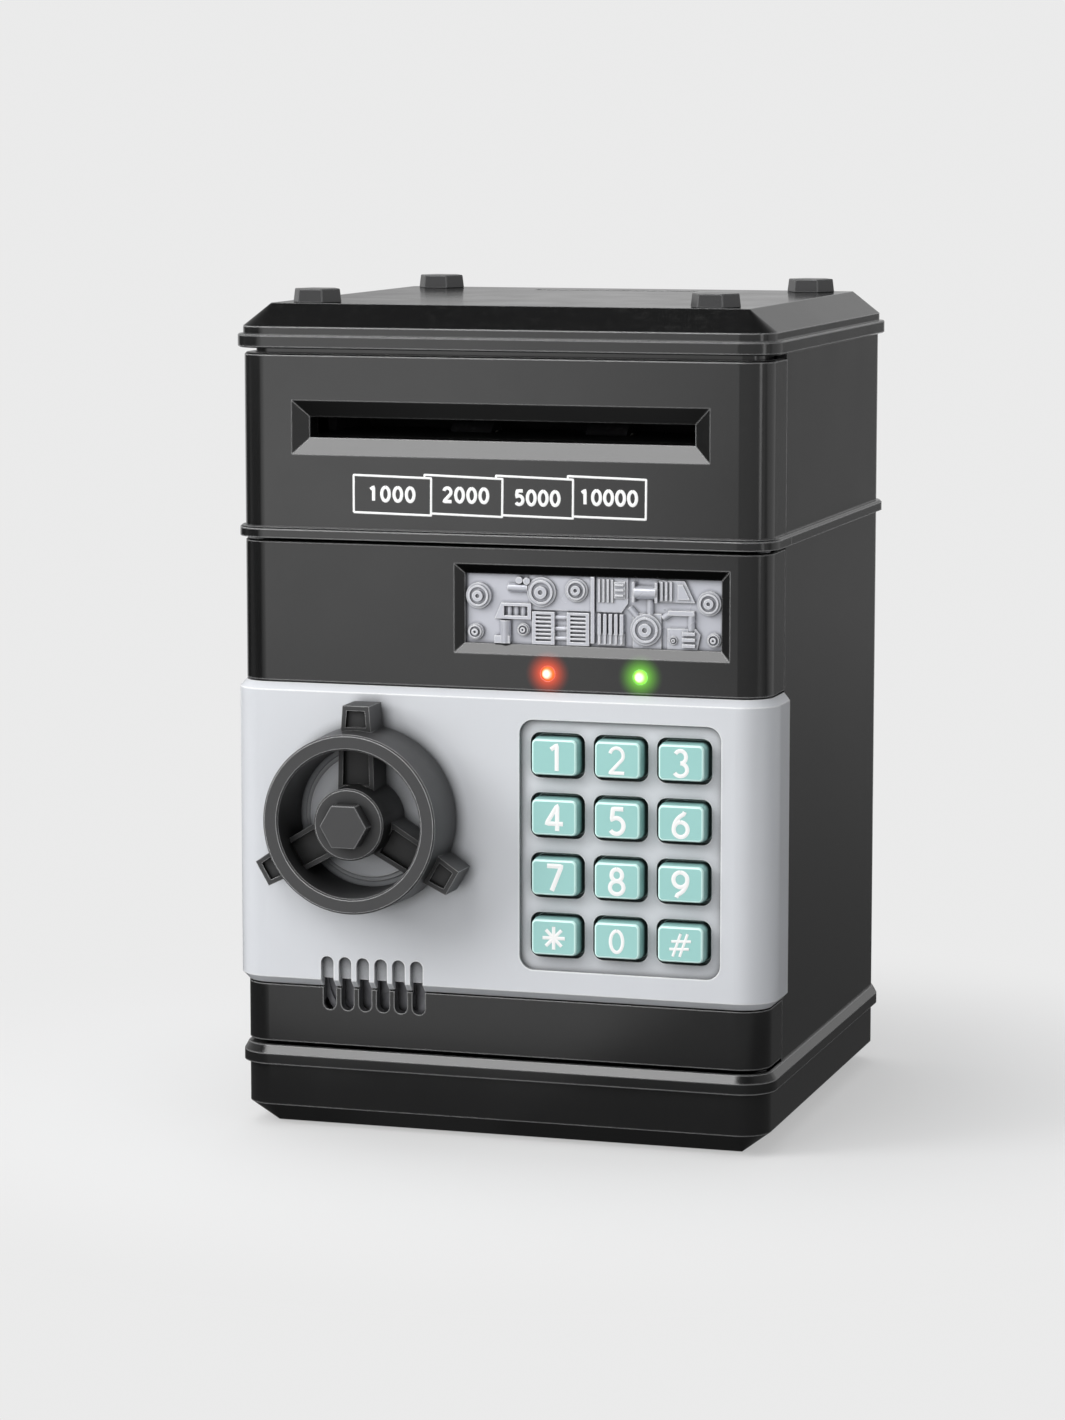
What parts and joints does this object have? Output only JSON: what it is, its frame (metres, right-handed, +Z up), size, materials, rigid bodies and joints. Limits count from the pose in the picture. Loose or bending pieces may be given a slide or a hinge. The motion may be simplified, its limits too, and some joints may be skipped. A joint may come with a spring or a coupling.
{
  "type": "electronic coin bank",
  "caption": "Battery-driven savings bank in the shape of a small safe: gloss black housing, silver door panel with handwheel and mint keypad, bill slot and coin slot",
  "frame": {"origin": "centre of the resting face under the housing", "axes": "+Z up, the front with keypad and handwheel faces -Y, +X to the right seen from the front"},
  "size_m": [0.1258, 0.1352, 0.19],
  "materials": {
    "housing_black": "polished black moulding",
    "door_black": "polished black moulding of the door",
    "bolt_black": "black moulded bolt heads",
    "panel_silver": "silver lacquer, satin gloss",
    "relief_silver": "silver lacquer on a raised relief",
    "wheel_black": "black moulding",
    "brass_part": "turned brass",
    "steel_part": "bright steel",
    "inner_black": "matt black inner moulding",
    "dome_rubber": "soft grey rubber",
    "circuit_board": "green board with lacquer",
    "lamp_red": "lit red lens",
    "lamp_green": "lit green lens",
    "speaker_metal": "plated basket",
    "white_plastic": "natural acetal",
    "motor_can": "plated motor can",
    "roller_plastic": "acetal shaft with gear",
    "roller_rubber": "matt rubber tyre",
    "cover_black": "black moulding",
    "cell_jacket": "plain lacquered cell jacket",
    "contact_metal": "plated contact strip",
    "screw_steel": "zinc-plated screw",
    "key_mint": "mint gloss key caps"
  },
  "bodies": {
    "housing": {"base": "housing_black", "case": "housing_black", "fascia": "housing_black", "lid": "housing_black", "lid_bolts": "bolt_black", "keeper": "steel_part", "deck": "inner_black", "feed_frame": "inner_black", "feed_motor": "motor_can", "coin_chute": "inner_black", "cells": "cell_jacket", "contacts": "contact_metal", "hinge_pins": "steel_part", "base_screws": "screw_steel"},
    "door": {"door": "door_black", "panel": "panel_silver", "relief": "relief_silver", "latch_guide": "inner_black", "solenoid": "steel_part", "dome_mat": "dome_rubber", "key_board": "circuit_board", "door_liner": "inner_black", "lamp_red": "lamp_red", "lamp_green": "lamp_green", "sound_board": "circuit_board", "speaker": "speaker_metal"},
    "handwheel": {"wheel": "wheel_black", "spindle": "wheel_black", "latch_pinion": "brass_part"},
    "latch": {"latch_bolt": "steel_part"},
    "lock_plunger": {"plunger": "brass_part"},
    "key_1_body": {"key_1": "key_mint"},
    "key_2_body": {"key_2": "key_mint"},
    "key_3_body": {"key_3": "key_mint"},
    "key_4_body": {"key_4": "key_mint"},
    "key_5_body": {"key_5": "key_mint"},
    "key_6_body": {"key_6": "key_mint"},
    "key_7_body": {"key_7": "key_mint"},
    "key_8_body": {"key_8": "key_mint"},
    "key_9_body": {"key_9": "key_mint"},
    "key_star_body": {"key_star": "key_mint"},
    "key_0_body": {"key_0": "key_mint"},
    "key_hash_body": {"key_hash": "key_mint"},
    "feed_roller_low": {"roller_lower": "roller_plastic", "tyres_lower": "roller_rubber"},
    "feed_roller_top": {"roller_upper": "roller_plastic", "tyres_upper": "roller_rubber"},
    "idler": {"idler_gear": "white_plastic"},
    "motor_rotor": {"motor_pinion": "white_plastic"},
    "bay_cover": {"battery_cover": "cover_black"}
  },
  "joints": [
    {"name": "door_hinge", "type": "hinge", "parent": "housing", "child": "door", "pos_m": [0.0583, -0.0483, 0.07], "axis": [0, 0, 1], "range_deg": [0, 100]},
    {"name": "wheel_turn", "type": "hinge", "parent": "door", "child": "handwheel", "pos_m": [-0.0294, -0.0566, 0.0732], "axis": [0, -1, 0], "range_deg": [0, 90]},
    {"name": "latch_slide", "type": "slide", "parent": "door", "child": "latch", "axis": [-1, 0, 0], "range_m": [0, 0.0076]},
    {"name": "plunger_drop", "type": "slide", "parent": "door", "child": "lock_plunger", "axis": [0, 0, -1], "range_m": [0, 0.00252]},
    {"name": "key_1_press", "type": "slide", "parent": "door", "child": "key_1_body", "axis": [0, 1, 0], "range_m": [0, 0.0012], "stiffness_N_per_m": 200},
    {"name": "key_2_press", "type": "slide", "parent": "door", "child": "key_2_body", "axis": [0, 1, 0], "range_m": [0, 0.0012], "stiffness_N_per_m": 200},
    {"name": "key_3_press", "type": "slide", "parent": "door", "child": "key_3_body", "axis": [0, 1, 0], "range_m": [0, 0.0012], "stiffness_N_per_m": 200},
    {"name": "key_4_press", "type": "slide", "parent": "door", "child": "key_4_body", "axis": [0, 1, 0], "range_m": [0, 0.0012], "stiffness_N_per_m": 200},
    {"name": "key_5_press", "type": "slide", "parent": "door", "child": "key_5_body", "axis": [0, 1, 0], "range_m": [0, 0.0012], "stiffness_N_per_m": 200},
    {"name": "key_6_press", "type": "slide", "parent": "door", "child": "key_6_body", "axis": [0, 1, 0], "range_m": [0, 0.0012], "stiffness_N_per_m": 200},
    {"name": "key_7_press", "type": "slide", "parent": "door", "child": "key_7_body", "axis": [0, 1, 0], "range_m": [0, 0.0012], "stiffness_N_per_m": 200},
    {"name": "key_8_press", "type": "slide", "parent": "door", "child": "key_8_body", "axis": [0, 1, 0], "range_m": [0, 0.0012], "stiffness_N_per_m": 200},
    {"name": "key_9_press", "type": "slide", "parent": "door", "child": "key_9_body", "axis": [0, 1, 0], "range_m": [0, 0.0012], "stiffness_N_per_m": 200},
    {"name": "key_star_press", "type": "slide", "parent": "door", "child": "key_star_body", "axis": [0, 1, 0], "range_m": [0, 0.0012], "stiffness_N_per_m": 200},
    {"name": "key_0_press", "type": "slide", "parent": "door", "child": "key_0_body", "axis": [0, 1, 0], "range_m": [0, 0.0012], "stiffness_N_per_m": 200},
    {"name": "key_hash_press", "type": "slide", "parent": "door", "child": "key_hash_body", "axis": [0, 1, 0], "range_m": [0, 0.0012], "stiffness_N_per_m": 200},
    {"name": "feed_roller_spin", "type": "hinge", "parent": "housing", "child": "feed_roller_low", "pos_m": [0, -0.022, 0.15465], "axis": [1, 0, 0], "continuous": true},
    {"name": "top_roller_spin", "type": "hinge", "parent": "housing", "child": "feed_roller_top", "pos_m": [0, -0.022, 0.16445], "axis": [1, 0, 0], "continuous": true},
    {"name": "idler_spin", "type": "hinge", "parent": "housing", "child": "idler", "pos_m": [0.052, -0.0052, 0.15465], "axis": [1, 0, 0], "continuous": true},
    {"name": "motor_spin", "type": "hinge", "parent": "housing", "child": "motor_rotor", "pos_m": [0.05, -0.0052, 0.17005], "axis": [1, 0, 0], "continuous": true},
    {"name": "bay_cover_slide", "type": "slide", "parent": "housing", "child": "bay_cover", "axis": [0, 1, 0], "range_m": [0, 0.048]}
  ],
  "couplings": [
    {"joint": "latch_slide", "follows": "wheel_turn", "m_per_rad": 0.0048},
    {"joint": "plunger_drop", "follows": "wheel_turn", "m_per_rad": 0.0015915},
    {"joint": "top_roller_spin", "follows": "feed_roller_spin", "ratio": -1},
    {"joint": "idler_spin", "follows": "feed_roller_spin", "ratio": -0.41176},
    {"joint": "motor_spin", "follows": "feed_roller_spin", "ratio": 1.4}
  ]
}
